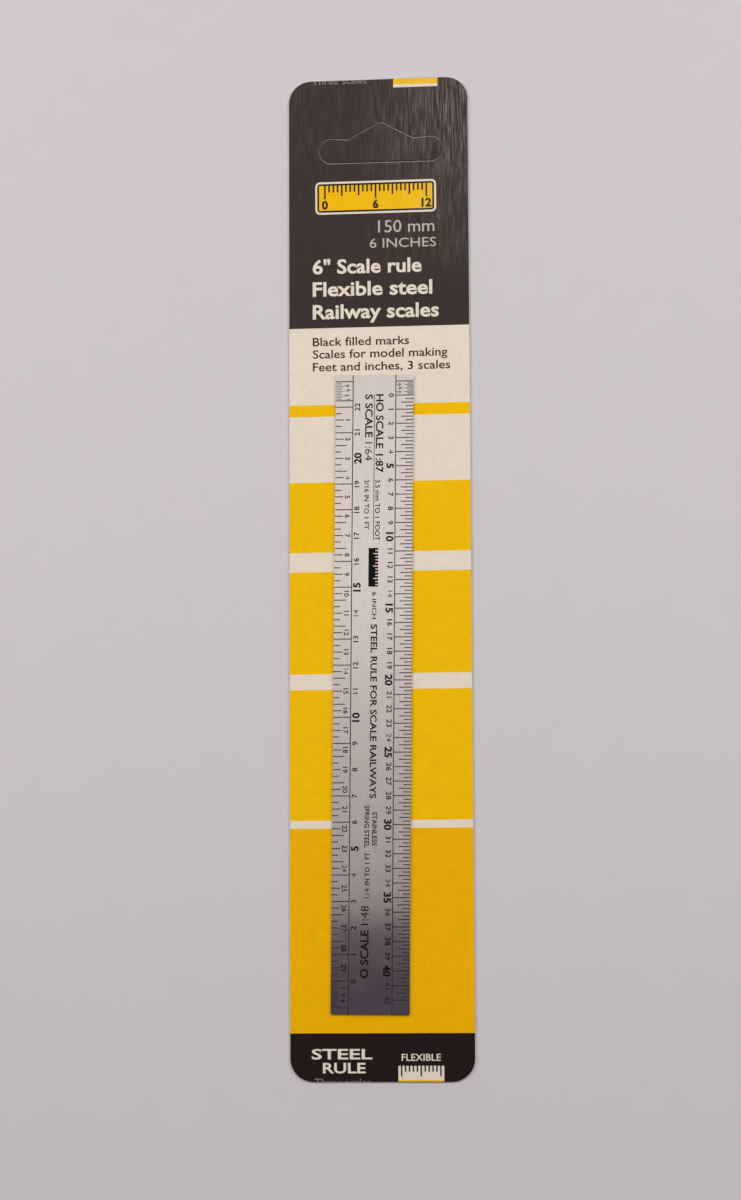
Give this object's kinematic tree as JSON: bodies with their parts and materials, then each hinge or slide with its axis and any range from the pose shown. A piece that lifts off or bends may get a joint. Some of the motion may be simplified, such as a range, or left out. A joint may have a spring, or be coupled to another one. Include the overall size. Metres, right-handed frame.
{
  "type": "steel ruler",
  "caption": "Thin flexible steel scale rule with etched edge scales, sealed under clear film on a tall printed hang card with a fold-out hang tab.",
  "frame": {"origin": "middle of the card's back face", "axes": "+Y along the card towards its hang slot, +X to the right as the print is read, +Z out of the printed face"},
  "size_m": [0.0444, 0.246, 0.0012],
  "materials": {
    "printed_card": "paperboard printed black, cream and yellow, with a plain pale back",
    "tab_card": "the same paperboard, printed black",
    "tab_film": "clear glossy skin film",
    "stainless_steel": "fine lengthways brushed stainless steel with black-filled etched marks",
    "clear_film": "clear glossy skin film, drawn tight over the rule"
  },
  "bodies": {
    "card": {"backing_card": "printed_card"},
    "hang_tab": {"hang_tab": "tab_card", "hang_tab_film": "tab_film"},
    "rule": {"steel_rule": "stainless_steel"},
    "film": {"skin_film": "clear_film"}
  },
  "joints": [
    {"name": "tab_fold", "type": "hinge", "parent": "card", "child": "hang_tab", "pos_m": [0.0006, 0.1021, 0.0005], "axis": [1, 0, 0], "range_deg": [0, 90]},
    {"name": "rule_lift", "type": "slide", "parent": "card", "child": "rule", "axis": [0, 0, 1], "range_m": [0, 0.03]},
    {"name": "film_peel", "type": "hinge", "parent": "rule", "child": "film", "pos_m": [0, -0.123, 0.0006], "axis": [1, 0, 0], "range_deg": [0, 120]}
  ]
}
